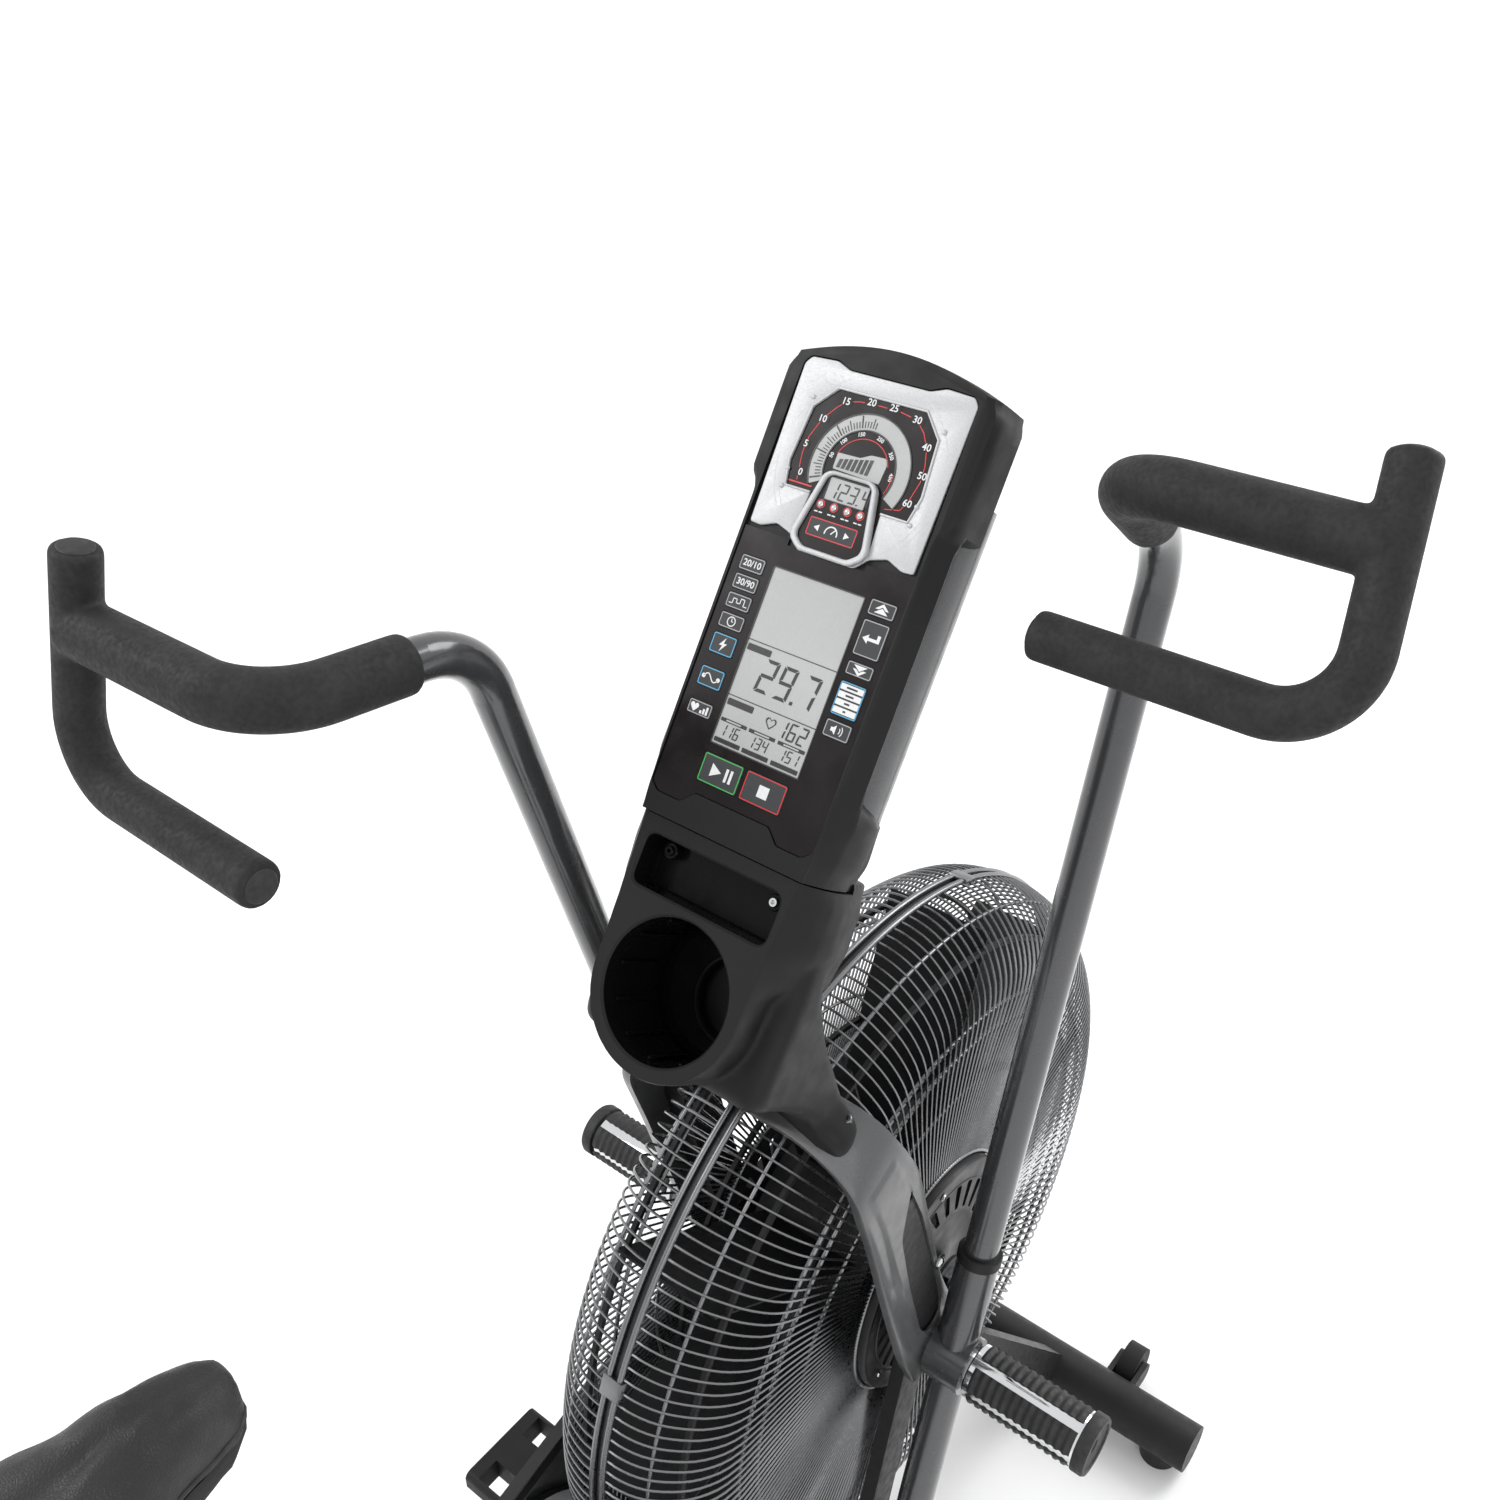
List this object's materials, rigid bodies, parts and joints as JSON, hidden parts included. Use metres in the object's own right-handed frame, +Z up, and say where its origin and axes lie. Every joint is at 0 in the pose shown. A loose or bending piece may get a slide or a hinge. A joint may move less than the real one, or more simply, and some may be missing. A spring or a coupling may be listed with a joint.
{
  "type": "air bike",
  "caption": "Upright exercise bike with a caged air-resistance fan, swinging foam-gripped handlebars, a console on a mast and an adjustable saddle.",
  "frame": {"origin": "on the floor under the middle of the bike's box", "axes": "+X forward, the way the rider faces; +Y the rider's left; +Z up"},
  "size_m": [1.3399, 0.6798, 1.3414],
  "materials": {
    "frame_paint": "black powder coat, fine texture",
    "graphite_paint": "metallic graphite paint, satin",
    "steel_tube": "glossy graphite metallic paint on round tube",
    "bright_wire": "bright zinc plated wire",
    "chrome": "polished chrome",
    "machined_steel": "machined steel",
    "alloy": "cast alloy",
    "housing_black": "matte moulded black plastic",
    "bezel_silver": "fine grained silver plastic",
    "gloss_black": "gloss black printed plastic",
    "lcd_grey": "reflective liquid crystal display",
    "key_black": "satin black keycap",
    "board_green": "green circuit board",
    "foam_black": "closed cell foam sleeve",
    "rubber_black": "black rubber",
    "saddle_vinyl": "black upholstery vinyl",
    "fan_black": "black coated sheet metal",
    "pedal_plastic": "black moulded nylon"
  },
  "bodies": {
    "base": {"main_frame": "frame_paint", "yoke": "graphite_paint", "front_stabilizer": "frame_paint", "rear_stabilizer": "frame_paint", "mast_tube": "graphite_paint", "mast_cover": "housing_black", "console_shell": "housing_black", "bezel_plate": "bezel_silver", "key_overlay": "gloss_black", "gauge_panel": "gloss_black", "main_display": "lcd_grey", "circuit_board": "board_green", "fan_cage_left": "bright_wire", "fan_cage_right": "bright_wire", "hub_covers": "housing_black", "left_shroud": "housing_black", "right_shroud": "housing_black", "drive_belt": "rubber_black", "foot_pegs": "chrome", "fasteners": "machined_steel", "fan_axle": "machined_steel", "bearings": "machined_steel"},
    "crankset": {"crank_axle": "machined_steel", "crank_pulley": "alloy", "left_crank_arm": "alloy", "right_crank_arm": "alloy"},
    "fan": {"fan_hub": "alloy", "fan_blades": "fan_black"},
    "right_pedal": {"right_pedal": "pedal_plastic"},
    "right_rod": {"right_rod": "machined_steel"},
    "right_handlebar": {"right_arm": "steel_tube", "right_grips": "foam_black"},
    "right_leveller": {"right_leveller": "rubber_black"},
    "right_wheel": {"right_transport_wheel": "rubber_black"},
    "left_pedal": {"left_pedal": "pedal_plastic"},
    "left_rod": {"left_rod": "machined_steel"},
    "left_handlebar": {"left_arm": "steel_tube", "left_grips": "foam_black"},
    "left_leveller": {"left_leveller": "rubber_black"},
    "left_wheel": {"left_transport_wheel": "rubber_black"},
    "seat_post": {"seat_post": "steel_tube"},
    "seat_slider": {"seat_slider": "frame_paint", "saddle": "saddle_vinyl"},
    "seat_pin": {"seat_pin": "machined_steel"},
    "slider_knob": {"slider_knob": "pedal_plastic"},
    "key_interval_short": {"key_interval_short": "key_black"},
    "key_interval_long": {"key_interval_long": "key_black"},
    "key_interval_custom": {"key_interval_custom": "key_black"},
    "key_time_target": {"key_time_target": "key_black"},
    "key_energy_target": {"key_energy_target": "key_black"},
    "key_distance_target": {"key_distance_target": "key_black"},
    "key_heart_zones": {"key_heart_zones": "key_black"},
    "key_up": {"key_up": "key_black"},
    "key_enter": {"key_enter": "key_black"},
    "key_down": {"key_down": "key_black"},
    "key_units_select": {"key_units_select": "key_black"},
    "key_sound": {"key_sound": "key_black"},
    "key_start": {"key_start": "key_black"},
    "key_stop": {"key_stop": "key_black"},
    "key_rate_select": {"key_rate_select": "key_black"}
  },
  "joints": [
    {"name": "crank_spin", "type": "hinge", "parent": "base", "child": "crankset", "pos_m": [-0.095, 0, 0.3], "axis": [0, 1, 0], "continuous": true},
    {"name": "fan_spin", "type": "hinge", "parent": "base", "child": "fan", "pos_m": [0.298, 0, 0.49], "axis": [0, 1, 0], "continuous": true},
    {"name": "right_pedal_spin", "type": "hinge", "parent": "crankset", "child": "right_pedal", "pos_m": [-0.23166, -0.207, 0.40112], "axis": [0, 1, 0], "continuous": true},
    {"name": "right_rod_pivot", "type": "hinge", "parent": "crankset", "child": "right_rod", "pos_m": [-0.15207, -0.118, 0.34223], "axis": [0, 1, 0], "continuous": true},
    {"name": "right_arm_swing", "type": "hinge", "parent": "base", "child": "right_handlebar", "pos_m": [0.241, -0.1414, 0.48], "axis": [0, 1, 0], "range_deg": [-31, 1.1]},
    {"name": "right_leveller_height", "type": "slide", "parent": "base", "child": "right_leveller", "axis": [0, 0, -1], "range_m": [0, 0.012]},
    {"name": "right_wheel_spin", "type": "hinge", "parent": "base", "child": "right_wheel", "pos_m": [0.642, -0.181, 0.034], "axis": [0, 1, 0], "continuous": true},
    {"name": "left_pedal_spin", "type": "hinge", "parent": "crankset", "child": "left_pedal", "pos_m": [0.04166, 0.207, 0.19888], "axis": [0, 1, 0], "continuous": true},
    {"name": "left_rod_pivot", "type": "hinge", "parent": "crankset", "child": "left_rod", "pos_m": [-0.03793, 0.118, 0.25777], "axis": [0, 1, 0], "continuous": true},
    {"name": "left_arm_swing", "type": "hinge", "parent": "base", "child": "left_handlebar", "pos_m": [0.241, 0.1414, 0.48], "axis": [0, 1, 0], "range_deg": [-1.1, 31]},
    {"name": "left_leveller_height", "type": "slide", "parent": "base", "child": "left_leveller", "axis": [0, 0, -1], "range_m": [0, 0.012]},
    {"name": "left_wheel_spin", "type": "hinge", "parent": "base", "child": "left_wheel", "pos_m": [0.642, 0.181, 0.034], "axis": [0, 1, 0], "continuous": true},
    {"name": "seat_height", "type": "slide", "parent": "base", "child": "seat_post", "axis": [-0.1798, 0, 0.9837], "range_m": [-0.12, 0.1]},
    {"name": "seat_fore_aft", "type": "slide", "parent": "seat_post", "child": "seat_slider", "axis": [1, 0, 0], "range_m": [-0.035, 0.035]},
    {"name": "seat_pin_pull", "type": "slide", "parent": "base", "child": "seat_pin", "axis": [0.9837, 0, 0.1798], "range_m": [0, 0.012], "stiffness_N_per_m": 900, "springref_m": -0.004},
    {"name": "slider_knob_turn", "type": "hinge", "parent": "seat_slider", "child": "slider_knob", "pos_m": [-0.44387, -0.04, 0.89096], "axis": [0, 1, 0], "range_deg": [0, 270]},
    {"name": "press_interval_short", "type": "slide", "parent": "base", "child": "key_interval_short", "axis": [0.83, 0, -0.5577], "range_m": [0, 0.0008], "stiffness_N_per_m": 700, "springref_m": -0.0003},
    {"name": "press_interval_long", "type": "slide", "parent": "base", "child": "key_interval_long", "axis": [0.83, 0, -0.5577], "range_m": [0, 0.0008], "stiffness_N_per_m": 700, "springref_m": -0.0003},
    {"name": "press_interval_custom", "type": "slide", "parent": "base", "child": "key_interval_custom", "axis": [0.83, 0, -0.5577], "range_m": [0, 0.0008], "stiffness_N_per_m": 700, "springref_m": -0.0003},
    {"name": "press_time_target", "type": "slide", "parent": "base", "child": "key_time_target", "axis": [0.83, 0, -0.5577], "range_m": [0, 0.0008], "stiffness_N_per_m": 700, "springref_m": -0.0003},
    {"name": "press_energy_target", "type": "slide", "parent": "base", "child": "key_energy_target", "axis": [0.83, 0, -0.5577], "range_m": [0, 0.0008], "stiffness_N_per_m": 700, "springref_m": -0.0003},
    {"name": "press_distance_target", "type": "slide", "parent": "base", "child": "key_distance_target", "axis": [0.83, 0, -0.5577], "range_m": [0, 0.0008], "stiffness_N_per_m": 700, "springref_m": -0.0003},
    {"name": "press_heart_zones", "type": "slide", "parent": "base", "child": "key_heart_zones", "axis": [0.83, 0, -0.5577], "range_m": [0, 0.0008], "stiffness_N_per_m": 700, "springref_m": -0.0003},
    {"name": "press_up", "type": "slide", "parent": "base", "child": "key_up", "axis": [0.83, 0, -0.5577], "range_m": [0, 0.0008], "stiffness_N_per_m": 700, "springref_m": -0.0003},
    {"name": "press_enter", "type": "slide", "parent": "base", "child": "key_enter", "axis": [0.83, 0, -0.5577], "range_m": [0, 0.0008], "stiffness_N_per_m": 700, "springref_m": -0.0003},
    {"name": "press_down", "type": "slide", "parent": "base", "child": "key_down", "axis": [0.83, 0, -0.5577], "range_m": [0, 0.0008], "stiffness_N_per_m": 700, "springref_m": -0.0003},
    {"name": "press_units_select", "type": "slide", "parent": "base", "child": "key_units_select", "axis": [0.83, 0, -0.5577], "range_m": [0, 0.0008], "stiffness_N_per_m": 700, "springref_m": -0.0003},
    {"name": "press_sound", "type": "slide", "parent": "base", "child": "key_sound", "axis": [0.83, 0, -0.5577], "range_m": [0, 0.0008], "stiffness_N_per_m": 700, "springref_m": -0.0003},
    {"name": "press_start", "type": "slide", "parent": "base", "child": "key_start", "axis": [0.83, 0, -0.5577], "range_m": [0, 0.0008], "stiffness_N_per_m": 700, "springref_m": -0.0003},
    {"name": "press_stop", "type": "slide", "parent": "base", "child": "key_stop", "axis": [0.83, 0, -0.5577], "range_m": [0, 0.0008], "stiffness_N_per_m": 700, "springref_m": -0.0003},
    {"name": "press_rate_select", "type": "slide", "parent": "base", "child": "key_rate_select", "axis": [0.83, 0, -0.5577], "range_m": [0, 0.0008], "stiffness_N_per_m": 700, "springref_m": -0.0003}
  ],
  "couplings": [
    {"joint": "fan_spin", "follows": "crank_spin", "ratio": 3.4375},
    {"joint": "right_rod_pivot", "follows": "crank_spin", "ratio": -1},
    {"joint": "left_rod_pivot", "follows": "crank_spin", "ratio": -1},
    {"joint": "left_arm_swing", "follows": "right_arm_swing", "ratio": -1}
  ]
}
